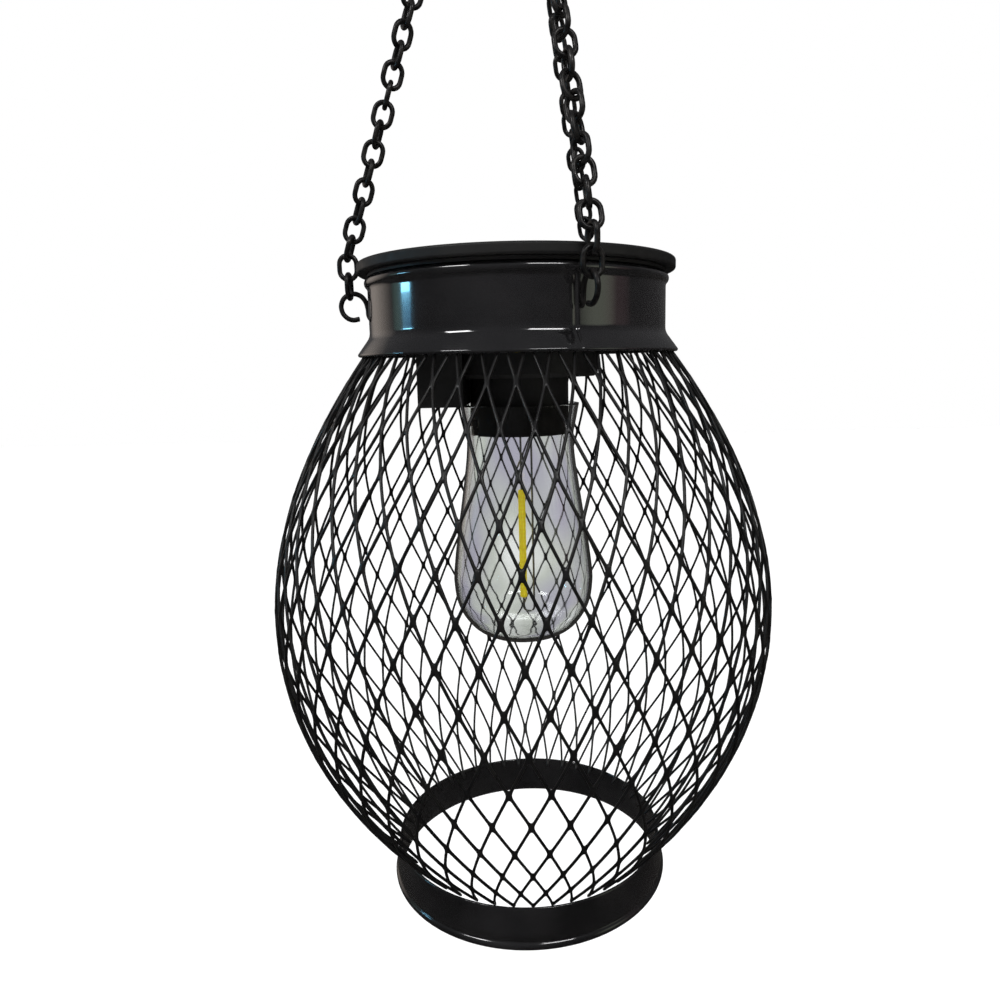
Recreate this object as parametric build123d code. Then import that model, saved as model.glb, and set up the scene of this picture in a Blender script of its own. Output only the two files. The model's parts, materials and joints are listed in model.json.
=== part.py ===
"""Hanging solar garden lantern: a barrel cage of expanded metal under a solar lid, on three chains.

Everything is drawn standing on the foot ring, z = 0 at the ring's lower edge, and moved down on
export so that the origin is the point where the hanging hook bears on its support.
The front of the lantern looks along -Y.
"""
from build123d import *
import math
import os

# ---------------------------------------------------------------- driving dimensions (mm)
LID_DIA = 102.0          # solar lid, the widest piece above the cage
LID_TOP = 212.1          # top face of the lid above the foot
LID_EDGE = 3.4           # thickness of the lid at its edge
COLLAR_RADIUS = 47.94    # outer wall of the collar
SHEET = 0.9              # steel sheet of the collar and the foot ring
COLLAR_TOP = 207.7       # crown of the rolled rim
RIM_BEAD = 1.7           # radius of the rolled rim
CREASE_Z = 189.4         # where the collar wall turns outward into the flare
FLARE_RADIUS = 51.95     # outer radius of the flare's lower edge
FLARE_Z = 183.3          # height of the flare's lower edge
FOOT_RADIUS = 48.85      # outer radius of the foot ring at its lower edge
FOOT_TOP_RADIUS = 46.85  # outer radius at its upper edge
FOOT_HEIGHT = 14.2
FOOT_BEAD = 1.5          # radius of the rolled lower edge of the foot ring

CELLS_AROUND = 45        # diamonds in one row of the mesh
ROW_PITCH = 11.636       # height between rows of knots
MESH_ROWS = 15           # half rows from the foot ring to the collar
MESH_FOOT_Z = 12.8       # lowest row of knots, hidden in the foot ring
MESH_TURN = 0.65         # degrees from the front to the first column of knots
MESH_THICKNESS = 1.0
STRAND = 1.1             # width of one strand of the mesh
CAGE_FOOT_RADIUS = 44.5  # outside of the mesh at its lowest row
CAGE_TOP_RADIUS = 47.7   # outside of the mesh at its highest row
BELLY = 37.0             # how far the barrel swells beyond those
SAG = 2.8                # how much lower than halfway the barrel is fullest
SECTORS = 15             # the mesh is divided into this many equal panels around
TIER_ROWS = 3            # and into tiers of this many half rows

BULB_RADIUS = 24.0
BULB_BOTTOM = 86.5
BULB_BELLY_Z = 107.0     # where the bulb is widest
BULB_WALL = 1.1
SOCKET_RADIUS = 16.4
SOCKET_BOTTOM = 157.5
BOSS_RADIUS = 26.2       # stepped disc under the lid
BOSS_BOTTOM = 176.0
BASE_RADIUS = 44.4       # base plate that closes the lid from below
BASE_TOP = 188.5
BATTERY_X = -23.5        # the AAA cell lies along Y on the left
BATTERY_DIA = 10.4
BATTERY_LENGTH = 43.3    # without the raised cap
BATTERY_Z = 174.6

CHAIN_AZIMUTHS = {"left": -91.0, "front": 22.0, "back": 149.0}  # degrees from the front, to the right
CHAIN_RADIUS = 54.9      # where the chains stand beside the lid
CHAIN_WIRE = 1.6
LINK_WIDTH = 7.2
LINK_INNER = 6.06        # inside length of a link
LINK_PLAY = 0.05         # clearance between two links that hang in each other
SLANTED_LINKS = 30       # links from the gather ring to the lid's edge
EYE_RADIUS = 4.2         # wire centre line of the collar's hook eyes
EYE_Z = 200.0
HOOK_HOLE = 1.2          # radius of the holes that take the collar hooks
HOOK_HOLE_Z = 195.6
HOOK_STEM = 2.6          # how far the stem starts inside the collar's outer wall
HOOK_EYE_START = 150.0   # degrees around the eye, from where the leg meets it over the top
HOOK_EYE_END = -108.0
RING_RADIUS = 9.0        # bends of the oval gather ring, wire centre line
RING_STRAIGHT = 7.6      # straight runs of the gather ring, one above and one below
RING_WIRE = 2.4
RING_BOTTOM = 386.8      # wire centre at the ring's lowest point
RING_SPREAD = 3.3        # spacing of the three end links along the ring's wire
HOOK_WIRE = 3.0
HOOK_THROAT = 10.0       # bend radius of the hook's upper arm, on the wire's centre line
HOOK_EYE = 6.0           # bend radius of its lower arm
HOOK_FLAT = 3.0          # straight run at the bottom of the lower arm, where the ring swings
HOOK_TIP = 7.0           # length of the straight tip of the hook's upper arm
HOOK_SPLAY = 0.9         # how far the tips stand outward
CUTTER_REACH = 16.0      # how far a cutter of the mesh reaches to each side

FOOT_STEP = 1.05         # the wall's outer face stands this far outside the bead's centre
FOOT_FLAT = 0.1          # how much the rolled edge is flattened where it stands

LID_ROUNDING = 0.8
PANEL_SIDE = 62.0        # square solar cell under its window
PANEL_POCKET = 1.9       # depth of the pocket in the lid
WINDOW_THICKNESS = 0.9
CELL_THICKNESS = 0.8
SKIRT_WALL = 2.0         # wall of the lid's spigot skirt
GASKET = 0.8             # thickness of the seal
POST_ANGLES = [40, 160, 280]
POST_PCD = 38.5          # radius of the screw posts' centres
POST_RADIUS = 3.4
SCREW_RADIUS = 1.3
SCREW_HEAD_RADIUS = 2.5
SCREW_HEAD = 1.8         # height of a screw's head
SCREW_LENGTH = 9.0
LUG_ANGLES = [98, 218, 338]
LUG_RADIUS = 45.9        # reach of the lid's lugs
LUG_Z = 193.0
LUG_HEIGHT = 2.0
LUG_HALF = 4.0           # half width of a lug
CATCH_HALF = 5.0         # half width of a catch over a lug
CATCH_GAP = 0.3          # clearance between a lug and its catch
SEAT_INNER = 45.6        # rim under the lid that rests over the collar
SEAT_OUTER = 47.8

WALL = 1.5               # moulded wall thickness
BAY_HALF = 6.9           # half width of the battery bay
BAY_LENGTH = 52.0
DOOR_TOP = 169.0         # lower rim of the bay, where its door seats
DOOR_THICKNESS = 1.3
LEAD_HOLE = 4.0          # radius of the boss's opening for the lamp leads
SWITCH_X = 36.5
SWITCH_TRAVEL = 2.0      # of the knob, to each side of the middle
BOARD_RADIUS = 24.2
BOARD_Z = 186.2
BOARD_THICKNESS = 1.2
LEAD_RADIUS = 0.6        # insulated wires inside the lid
SPRING_WIRE = 0.7
SPRING_RADIUS = 3.2
SPRING_TURNS = 3
CAP_RADIUS = 2.7         # raised cap of the battery cell
CAP_HEIGHT = 1.2

SOCKET_WALL = 1.8
SOCKET_FLOOR = 167.0
CONTACT_X = 5.0
CONTACT_HOLE = 1.5
KEY_HALF = 1.3           # half width of the bulb's locking keys
KEY_HEIGHT = 2.4
KEY_PLAY = 0.3           # clearance of the keys in the slots
KEY_REACH = 16.7         # how far the keys stand out from the axis
BAYONET_TURN = 32        # degrees from locked to the mouth of the slots
BULB_TURN = 10.0         # height above the tip where the bulb turns under
BULB_TOP = 167.2
BULB_MOUTH = 19.9        # outer radius of the sleeve's mouth
BULB_NECK = 17.95        # outer radius at the neck
NECK_Z = 157.0
PLUG_Z = 160.0
PLUG_RADIUS = 14.4
PLUG_THICKNESS = 3.0
HUB_RADIUS = 6.5         # hub under the plug that holds the leads
HUB_HEIGHT = 3.0
PAD = 0.6                # thickness of the solder pads
PAD_RADIUS = 1.9
FILAMENT_LOW = 100.0
FILAMENT_HIGH = 138.0
FILAMENT_WIDTH = 2.6
FILAMENT_LEAD = 0.7      # wire of the filament leads
RETURN_X = 3.6           # the return lead stands this far beside the filament
RETURN_DROP = 5.0        # and passes this far below it
RETURN_BEND = 1.6

LID_RADIUS = LID_DIA / 2
RING_TOP = RING_BOTTOM + 2 * RING_RADIUS
# the ring hangs on the inside of the hook's lower bend
HOOK_LOW = RING_TOP - (RING_WIRE + HOOK_WIRE) / 2 - 0.05
HOOK_HIGH = HOOK_LOW + 2 * HOOK_EYE + 2 * HOOK_THROAT
HANG_Z = HOOK_HIGH - HOOK_WIRE / 2  # inside of the upper bend, where a support bears

parts = {}


def add(name, shape):
    """Keep a node, moved so that the hanging point is the origin."""
    parts[name] = Pos(0, 0, -HANG_Z) * shape


def group(solids):
    """Several separate solids in one node."""
    return Compound(children=list(solids))


def turned(points):
    """A closed profile of (radius, height) points revolved about the axis."""
    face = make_face(Polyline(*[(r, 0, z) for r, z in points], close=True))
    return revolve(face, Axis.Z)


def ring(r_in, r_out, z_low, z_high):
    """A plain ring about the axis."""
    return turned([(r_in, z_low), (r_out, z_low), (r_out, z_high), (r_in, z_high)])


def disc(radius, z_low, z_high):
    """A plain disc on the axis."""
    return Pos(0, 0, (z_low + z_high) / 2) * Cylinder(radius, z_high - z_low)


def block(x, y, z):
    """A box between pairs of limits."""
    size = [high - low for low, high in (x, y, z)]
    middle = [(high + low) / 2 for low, high in (x, y, z)]
    return Pos(*middle) * Box(*size)


def bead(radius, z, wire):
    """A round wire bent into a ring about the axis."""
    return Pos(0, 0, z) * Torus(radius, wire)


def outward(azimuth):
    """Unit vector from the axis at an azimuth counted from the front to the right."""
    angle = math.radians(azimuth)
    return Vector(math.sin(angle), -math.cos(angle), 0)


def swept_wire(path, diameter):
    """Round wire along a path."""
    section = Plane(path @ 0, z_dir=path % 0) * Circle(diameter / 2)
    return sweep(section, path=path)


# ---------------------------------------------------------------- mesh cage
def cage_radius(z):
    """Outside radius of the barrel at a height."""
    top = MESH_FOOT_Z + MESH_ROWS * ROW_PITCH
    t = 2 * (z - MESH_FOOT_Z) / (top - MESH_FOOT_Z) - 1
    base = CAGE_FOOT_RADIUS + (CAGE_TOP_RADIUS - CAGE_FOOT_RADIUS) * (t + 1) / 2
    return base + (BELLY - SAG * t) * (1 - t * t)


def row_z(row):
    """Height of a row of knots, counted from the foot."""
    return MESH_FOOT_Z + row * ROW_PITCH


def window(row, azimuth):
    """Cutter for one diamond opening, centred on a row at an azimuth."""
    z = row_z(row)
    radius = cage_radius(z)
    half_width = radius * math.radians(180 / CELLS_AROUND)
    strand_run = math.hypot(half_width, ROW_PITCH)
    side_land = STRAND / 2 * strand_run / ROW_PITCH
    end_land = STRAND / 2 * strand_run / half_width
    across = half_width - side_land
    up = ROW_PITCH - end_land
    out = outward(azimuth)
    plane = Plane(origin=out * radius + Vector(0, 0, z), x_dir=(-out.Y, out.X, 0), z_dir=out)
    diamond = make_face(Polyline((across, 0), (0, up), (-across, 0), (0, -up), close=True))
    return extrude(plane * diamond, amount=CUTTER_REACH, both=True)


def cage_panel(first_row, rows):
    """One panel of the mesh: a sector of the barrel wall with its diamonds cut out."""
    low, high = row_z(first_row), row_z(first_row + rows)
    middle = (low + high) / 2
    sector = 360 / SECTORS
    heights = (low, middle, high)
    outer = ThreePointArc(*[(cage_radius(z), 0, z) for z in heights])
    inner = ThreePointArc(*[(cage_radius(z) - MESH_THICKNESS, 0, z) for z in heights])
    ends = [Line(outer @ 0, inner @ 0), Line(outer @ 1, inner @ 1)]
    wall = revolve(make_face([outer, inner] + ends), Axis.Z, revolution_arc=sector)
    step = 360 / CELLS_AROUND
    # the revolved profile starts on +X, a quarter turn from the front; panels start on a column of knots
    start = MESH_TURN + math.floor(90 / step) * step
    wall = Rot(0, 0, start - 90) * wall
    columns = CELLS_AROUND // SECTORS
    cutters = []
    for row in range(first_row, first_row + rows + 1):
        shift = 0.5 if row % 2 == 0 else 0.0
        for column in range(columns + 1):
            cutters.append(window(row, start + (column + shift) * step))
            if shift and column == 0:
                cutters.append(window(row, start - shift * step))
    return wall - cutters


def mesh_cage():
    """All panels of the mesh, every tier repeated around the axis."""
    solids = []
    for first_row in range(0, MESH_ROWS, TIER_ROWS):
        panel = cage_panel(first_row, TIER_ROWS)
        for sector in range(SECTORS):
            solids.append(Rot(0, 0, sector * 360 / SECTORS) * panel)
    return group(solids)


# ---------------------------------------------------------------- collar and foot ring
def collar():
    """Sheet-metal collar: rolled rim, straight wall, flare and a small hem."""
    wall_top = COLLAR_TOP - RIM_BEAD
    inner = COLLAR_RADIUS - SHEET
    body = turned([
        (COLLAR_RADIUS, CREASE_Z), (COLLAR_RADIUS, wall_top), (inner, wall_top),
        (inner, CREASE_Z - 0.4), (FLARE_RADIUS - SHEET, FLARE_Z), (FLARE_RADIUS, FLARE_Z),
    ])
    body += bead(COLLAR_RADIUS - 0.74, wall_top, RIM_BEAD)
    for azimuth in CHAIN_AZIMUTHS.values():
        middle = outward(azimuth) * COLLAR_RADIUS + Vector(0, 0, HOOK_HOLE_Z)
        body -= Plane(origin=middle, z_dir=outward(azimuth)) * Cylinder(HOOK_HOLE, 6)
    return body


def foot_ring():
    """Sheet-metal foot ring with a rolled lower edge."""
    bead_radius = FOOT_RADIUS - FOOT_BEAD
    outer = bead_radius + FOOT_STEP
    wall = turned([
        (outer - SHEET, FOOT_BEAD), (outer, FOOT_BEAD),
        (FOOT_TOP_RADIUS, FOOT_HEIGHT), (FOOT_TOP_RADIUS - SHEET, FOOT_HEIGHT),
    ])
    shape = wall + bead(bead_radius, FOOT_BEAD - FOOT_FLAT, FOOT_BEAD)
    return shape - disc(LID_RADIUS, -2, 0)


def collar_hook(azimuth):
    """Wire hook: a stem through the collar wall, a leg up the wall and an open round eye."""
    wall = COLLAR_RADIUS + CHAIN_WIRE / 2 + 0.1
    leg_top = (wall + 0.9, 0, EYE_Z + 1.6)
    stem = FilletPolyline((COLLAR_RADIUS - HOOK_STEM, 0, HOOK_HOLE_Z), (wall, 0, HOOK_HOLE_Z), leg_top, radius=1.0)
    rim = []
    for step in range(5):
        angle = math.radians(HOOK_EYE_START + (HOOK_EYE_END - HOOK_EYE_START) * step / 4)
        rim.append((CHAIN_RADIUS + EYE_RADIUS * math.cos(angle), 0, EYE_Z + EYE_RADIUS * math.sin(angle)))
    runs = [stem, Line(leg_top, rim[0]), ThreePointArc(*rim[:3]), ThreePointArc(*rim[2:])]
    shape = swept_wire(runs[0], CHAIN_WIRE)
    for run in runs[1:]:
        shape += swept_wire(run, CHAIN_WIRE)
    for joint in (leg_top, rim[0], rim[2], rim[4]):
        shape += Pos(*joint) * Sphere(CHAIN_WIRE / 2)
    return Rot(0, 0, azimuth - 90) * shape


def lid_catches():
    """Three tabs welded inside the collar, over the lid's lugs."""
    low = LUG_Z + LUG_HEIGHT + CATCH_GAP
    band = ring(LUG_RADIUS - SHEET, COLLAR_RADIUS - SHEET, low, low + 1)
    solids = []
    for angle in LUG_ANGLES:
        sector = Rot(0, 0, angle) * block((0, LID_RADIUS), (-CATCH_HALF, CATCH_HALF), (LUG_Z, low + 2))
        solids.append(band & sector)
    return group(solids)


# ---------------------------------------------------------------- chains, gather ring and hook
def oval(inner_length, width, wire):
    """Closed oval of round wire, long axis on Z and flat in XZ."""
    bend = (width - wire) / 2
    straight = inner_length + wire - 2 * bend
    half = straight / 2
    upper = Pos(0, 0, half) * Rot(90, 0, 0) * Torus(bend, wire / 2)
    lower = Pos(0, 0, -half) * Rot(90, 0, 0) * Torus(bend, wire / 2)
    upper &= block((-width, width), (-width, width), (half, half + width))
    lower &= block((-width, width), (-width, width), (-half - width, -half))
    sides = [Pos(x, 0, 0) * Cylinder(wire / 2, straight) for x in (-bend, bend)]
    return upper + lower + sides[0] + sides[1]


LINK = oval(LINK_INNER, LINK_WIDTH, CHAIN_WIRE)


def chain(azimuth, offset):
    """Links from the gather ring down to the lid's edge, then upright to the collar hook."""
    out = outward(azimuth)
    tangent = Vector(-out.Y, out.X, 0)
    eye_top = EYE_Z + EYE_RADIUS - CHAIN_WIRE / 2 - LINK_PLAY
    lowest = out * CHAIN_RADIUS + Vector(0, 0, eye_top + LINK_INNER / 2)
    pitch = LINK_INNER - LINK_PLAY
    solids = [
        Plane(origin=lowest, x_dir=tangent, z_dir=(0, 0, 1)) * LINK,
        Plane(origin=lowest + Vector(0, 0, pitch), x_dir=out, z_dir=(0, 0, 1)) * LINK,
    ]
    corner = lowest + Vector(0, 0, pitch + LINK_INNER / 2)
    on_ring = Vector(0, offset, RING_BOTTOM)
    along = (corner - on_ring).normalized()
    start = on_ring - along * (RING_WIRE / 2 + LINK_PLAY)
    slant_pitch = (corner - start).length / SLANTED_LINKS
    side = (Vector(0, 1, 0) - along * along.Y).normalized()
    cross = along.cross(side)
    # the chain twists a little on its way, so that its last link crosses the upright one squarely
    twist = math.degrees(math.atan(tangent.dot(cross) / tangent.dot(side)))
    for index in range(SLANTED_LINKS):
        angle = math.radians(twist * index / (SLANTED_LINKS - 1) + 90 * (index % 2))
        normal = side * math.cos(angle) + cross * math.sin(angle)
        centre = start + along * (slant_pitch * (index + 0.5))
        solids.append(Plane(origin=centre, x_dir=normal.cross(along), z_dir=-along) * LINK)
    return group(solids)


def gather_ring():
    """Closed oval ring, straight at the top where it hangs and at the bottom where the chains end."""
    inner_length = RING_STRAIGHT + 2 * RING_RADIUS - RING_WIRE
    upright = oval(inner_length, 2 * RING_RADIUS + RING_WIRE, RING_WIRE)
    return Pos(0, 0, RING_BOTTOM + RING_RADIUS) * Rot(0, 0, 90) * Rot(0, 90, 0) * upright


def hanging_hook():
    """S hook: the small lower bend holds the gather ring, the large upper bend goes over a support."""
    flat = HOOK_FLAT / 2
    low_centre = HOOK_LOW + HOOK_EYE
    high_centre = HOOK_HIGH - HOOK_THROAT
    left, right = -flat - HOOK_EYE, flat + HOOK_EYE
    corner = HOOK_EYE * math.sqrt(0.5)
    runs = [
        Line((left, 0, low_centre), (left - HOOK_SPLAY, 0, low_centre + HOOK_TIP / 2)),
        ThreePointArc((left, 0, low_centre), (-flat - corner, 0, low_centre - corner), (-flat, 0, HOOK_LOW)),
        Line((-flat, 0, HOOK_LOW), (flat, 0, HOOK_LOW)),
        ThreePointArc((flat, 0, HOOK_LOW), (flat + corner, 0, low_centre - corner), (right, 0, low_centre)),
        Line((right, 0, low_centre), (-HOOK_THROAT, 0, high_centre)),
        ThreePointArc((-HOOK_THROAT, 0, high_centre), (0, 0, HOOK_HIGH), (HOOK_THROAT, 0, high_centre)),
        Line((HOOK_THROAT, 0, high_centre), (HOOK_THROAT + HOOK_SPLAY, 0, high_centre - HOOK_TIP)),
    ]
    shape = swept_wire(runs[0], HOOK_WIRE)
    for run in runs[1:]:
        shape += swept_wire(run, HOOK_WIRE)
    for joint in (runs[0] @ 0, runs[0] @ 1, runs[4] @ 0, runs[4] @ 1, runs[6] @ 0, runs[6] @ 1):
        shape += Pos(*joint) * Sphere(HOOK_WIRE / 2)
    return shape


# ---------------------------------------------------------------- solar lid
def lid_corner_rounding(shape):
    """Round the outer edges of the lid."""
    edges = shape.edges().filter_by(GeomType.CIRCLE).filter_by(lambda e: abs(e.radius - LID_RADIUS) < 0.01)
    return fillet(edges, LID_ROUNDING)


def solar_lid():
    """Moulded lid: disc with a pocket for the cell, a spigot skirt and three screw posts."""
    underside = LID_TOP - LID_EDGE
    shape = lid_corner_rounding(disc(LID_RADIUS, underside, LID_TOP))
    half = PANEL_SIDE / 2 + 0.1
    shape -= block((-half, half), (-half, half), (LID_TOP - PANEL_POCKET, LID_TOP + 1))
    shape += ring(BASE_RADIUS - SKIRT_WALL, BASE_RADIUS, BASE_TOP + GASKET, underside)
    shape += ring(SEAT_INNER, SEAT_OUTER, COLLAR_TOP + 0.1, underside)
    for angle in POST_ANGLES:
        spot = outward(angle) * POST_PCD
        shape += Pos(spot.X, spot.Y, (BASE_TOP + underside) / 2) * Cylinder(POST_RADIUS, underside - BASE_TOP)
        shape -= Pos(spot.X, spot.Y, BASE_TOP + 5) * Cylinder(SCREW_RADIUS, SCREW_LENGTH + 1)
    for angle in LUG_ANGLES:
        lug = block((BASE_RADIUS - 0.5, LUG_RADIUS), (-LUG_HALF, LUG_HALF), (LUG_Z, LUG_Z + LUG_HEIGHT))
        shape += Rot(0, 0, angle) * lug
    shape -= block((-6, 6), (-1.6, 1.6), (underside - 1, LID_TOP - PANEL_POCKET + 1))
    return shape


def lid_base():
    """Base plate with the stepped boss, the battery bay and openings for socket, screws and switch."""
    plate = disc(BASE_RADIUS, BASE_TOP - 2, BASE_TOP)
    boss = turned([
        (0, BOSS_BOTTOM), (BOSS_RADIUS - 1.2, BOSS_BOTTOM), (BOSS_RADIUS, BOSS_BOTTOM + 1.2),
        (BOSS_RADIUS, BASE_TOP - 1), (0, BASE_TOP - 1),
    ])
    x_low, x_high = BATTERY_X - BAY_HALF, BATTERY_X + BAY_HALF
    bay = block((x_low, x_high), (-BAY_LENGTH / 2, BAY_LENGTH / 2), (DOOR_TOP, BASE_TOP - 1))
    shape = plate + boss + bay
    cavity = disc(BOSS_RADIUS - WALL, BOSS_BOTTOM + WALL, BASE_TOP + 1)
    bay_room = block((x_low + WALL, x_high - WALL), (-BAY_LENGTH / 2 + WALL, BAY_LENGTH / 2 - WALL),
                     (DOOR_TOP - 1, BATTERY_Z + BATTERY_DIA / 2 + 0.6))
    shape -= cavity
    shape += bay & block((x_low, x_high), (-BAY_LENGTH / 2, BAY_LENGTH / 2),
                         (BATTERY_Z + BATTERY_DIA / 2, BATTERY_Z + BATTERY_DIA / 2 + 1.8))
    shape -= bay_room
    shape -= disc(LEAD_HOLE, BOSS_BOTTOM - 1, BOSS_BOTTOM + WALL + 1)
    for angle in POST_ANGLES:
        spot = outward(angle) * POST_PCD
        shape -= Pos(spot.X, spot.Y, BASE_TOP - 1) * Cylinder(SCREW_RADIUS + 0.4, 4)
    slot_x = (SWITCH_X - SWITCH_TRAVEL - 2.2, SWITCH_X + SWITCH_TRAVEL + 2.2)
    shape -= block(slot_x, (-1.7, 1.7), (BASE_TOP - 3, BASE_TOP + 1))
    return shape


def gasket_ring():
    """Flat seal between the lid's skirt and the base plate."""
    return ring(BASE_RADIUS - SKIRT_WALL, BASE_RADIUS, BASE_TOP, BASE_TOP + GASKET)


def battery_door():
    """Snap-in door under the battery bay."""
    outer = block((BATTERY_X - BAY_HALF, BATTERY_X + BAY_HALF), (-BAY_LENGTH / 2, BAY_LENGTH / 2),
                  (DOOR_TOP - DOOR_THICKNESS, DOOR_TOP))
    outer = fillet(outer.edges().filter_by(Axis.Z), 1.5)
    rib = BAY_HALF - WALL - 0.2
    lip = block((BATTERY_X - rib, BATTERY_X + rib), (-BAY_LENGTH / 2 + WALL + 0.2, -BAY_LENGTH / 2 + WALL + 1.4),
                (DOOR_TOP, DOOR_TOP + 1.5))
    return outer + lip + mirror(lip, Plane.XZ)


def battery_cell():
    """Rechargeable cell with its raised positive cap."""
    cell = Rot(90, 0, 0) * Cylinder(BATTERY_DIA / 2, BATTERY_LENGTH)
    cap = Pos(0, (BATTERY_LENGTH + CAP_HEIGHT) / 2, 0) * Rot(90, 0, 0) * Cylinder(CAP_RADIUS, CAP_HEIGHT)
    return Pos(BATTERY_X, CAP_HEIGHT / 2, BATTERY_Z) * (cell + cap)


def battery_spring():
    """Negative contact: a small coil pressed between the bay wall and the cell."""
    far = -BAY_LENGTH / 2 + WALL + 0.1
    near = (CAP_HEIGHT - BATTERY_LENGTH) / 2 - 0.1
    height = near - far - SPRING_WIRE
    coil = swept_wire(Helix(pitch=height / SPRING_TURNS, height=height, radius=SPRING_RADIUS), SPRING_WIRE)
    return Pos(BATTERY_X, far + SPRING_WIRE / 2, BATTERY_Z) * Rot(-90, 0, 0) * coil


def battery_plate():
    """Positive contact plate."""
    wall_y = BAY_LENGTH / 2 - WALL
    return block((BATTERY_X - 4, BATTERY_X + 4), (wall_y - 0.5, wall_y), (BATTERY_Z - 4, BATTERY_Z + 4))


def circuit_board():
    """Round driver board above the battery bay, with a notch for the cell leads."""
    board = disc(BOARD_RADIUS, BOARD_Z, BOARD_Z + BOARD_THICKNESS)
    return board - block((-BOARD_RADIUS, -BOARD_RADIUS + 3), (-3, 3), (BOARD_Z - 1, BOARD_Z + 3))


def board_components():
    """Driver chip, inductor, capacitor and diode on the board."""
    top = BOARD_Z + BOARD_THICKNESS
    chip = block((-4, 0), (-3, 2), (top, top + 1.6))
    inductor = Pos(9, 6, top + 2) * Cylinder(3.2, 4)
    capacitor = Pos(10, -7, top + 2.6) * Cylinder(2.2, 5.2)
    diode = block((-12, -7), (6, 8.5), (top, top + 1.5))
    return group([chip, inductor, capacitor, diode])


def switch_body():
    """Slide switch standing on the base plate."""
    shell = block((SWITCH_X - 5, SWITCH_X + 5), (-3, 3), (BASE_TOP, BASE_TOP + 4.2))
    return shell - block((SWITCH_X - 3.9, SWITCH_X + 3.9), (-1.8, 1.8), (BASE_TOP - 1, BASE_TOP + 3))


def switch_knob():
    """Slider whose nib reaches down through the base plate, at its off end."""
    x = SWITCH_X - SWITCH_TRAVEL
    carriage = block((x - 1.6, x + 1.6), (-1.5, 1.5), (BASE_TOP + 0.3, BASE_TOP + 2.7))
    nib = block((x - 1.2, x + 1.2), (-1.2, 1.2), (BASE_TOP - 4, BASE_TOP + 0.3))
    return carriage + nib


def housing_screws():
    """Three self-tapping screws up through the base plate into the posts."""
    solids = []
    for angle in POST_ANGLES:
        spot = outward(angle) * POST_PCD
        head_z = BASE_TOP - 2
        head = Pos(spot.X, spot.Y, head_z - SCREW_HEAD / 2) * Cylinder(SCREW_HEAD_RADIUS, SCREW_HEAD)
        head -= Pos(spot.X, spot.Y, head_z - 1.6) * Box(3.0, 0.6, 0.8)
        head -= Pos(spot.X, spot.Y, head_z - 1.6) * Box(0.6, 3.0, 0.8)
        shank = Pos(spot.X, spot.Y, head_z + SCREW_LENGTH / 2) * Cylinder(SCREW_RADIUS - 0.05, SCREW_LENGTH)
        solids.append(head + shank)
    return group(solids)


def solar_cell():
    """Silicon cell on its backing board, in the bottom of the lid's pocket."""
    half = PANEL_SIDE / 2
    floor = LID_TOP - PANEL_POCKET
    return block((-half, half), (-half, half), (floor, floor + CELL_THICKNESS))


def solar_window():
    """Clear cover bonded over the cell."""
    half = PANEL_SIDE / 2
    floor = LID_TOP - PANEL_POCKET + CELL_THICKNESS
    return block((-half, half), (-half, half), (floor, floor + WINDOW_THICKNESS))


def solar_leads():
    """Two insulated wires from the cell down to the board."""
    top = LID_TOP - PANEL_POCKET
    low = BOARD_Z + BOARD_THICKNESS
    return group([Pos(x, 0, (top + low) / 2) * Cylinder(LEAD_RADIUS, top - low) for x in (3.0, 4.8)])


# ---------------------------------------------------------------- lamp
def lamp_socket():
    """Black cup under the boss with L-shaped bayonet slots and a floor for the lamp's contacts."""
    wall = ring(SOCKET_RADIUS - SOCKET_WALL, SOCKET_RADIUS, SOCKET_BOTTOM, BOSS_BOTTOM)
    floor = disc(SOCKET_RADIUS - 1, SOCKET_FLOOR, SOCKET_FLOOR + 1.6)
    cup = wall + floor
    for x in (-CONTACT_X, CONTACT_X):
        cup -= Pos(x, 0, SOCKET_FLOOR) * Cylinder(CONTACT_HOLE, 6)
    reach = (SOCKET_RADIUS - 3, SOCKET_RADIUS + 1)
    channel = ring(*reach, PLUG_Z - KEY_PLAY, PLUG_Z + KEY_HEIGHT + KEY_PLAY)
    half = KEY_HALF + KEY_PLAY
    for angle in (0, 180):
        for turn in range(0, BAYONET_TURN + 1, 4):
            step = Rot(0, 0, angle + turn) * block((5, 30), (-half, half), (PLUG_Z - 1, PLUG_Z + 5))
            cup -= channel & step
        mouth = block(reach, (-half, half), (SOCKET_BOTTOM - 1, PLUG_Z + 1))
        cup -= Rot(0, 0, angle + BAYONET_TURN) * mouth
    return cup


def socket_contacts():
    """Two brass plungers through the cup's floor, resting just above the bulb's pads."""
    low = PLUG_Z + PLUG_THICKNESS + PAD + 0.1
    high = SOCKET_FLOOR + 5.2
    return group([Pos(x, 0, (low + high) / 2) * Cylinder(CONTACT_HOLE - 0.05, high - low)
                  for x in (-CONTACT_X, CONTACT_X)])


def lamp_leads():
    """Two wires from the board down to the lamp's sockets."""
    top = BOARD_Z
    low = SOCKET_FLOOR + 5.2
    return group([Pos(x, 0, (top + low) / 2) * Cylinder(LEAD_RADIUS, top - low) for x in (-2.0, 2.0)])


def bulb_profile(inset):
    """Half outline of the clear bulb, from its mouth to its tip, shrunk by an inset."""
    r = BULB_RADIUS - inset
    bottom = BULB_BOTTOM + inset
    neck = BULB_NECK - inset
    mouth = Line((BULB_MOUTH - inset, 0, BULB_TOP), (neck, 0, NECK_Z))
    belly = (r, 0, BULB_BELLY_Z)
    shoulder = Spline(mouth @ 1, belly, tangents=[(0.08, 0, -1), (0, 0, -1)])
    turn = (r * 0.87, 0, bottom + BULB_TURN)
    crown = Spline(belly, turn, (0, 0, bottom), tangents=[(0, 0, -1), (-1, 0, 0)])
    return [mouth, shoulder, crown]


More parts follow.
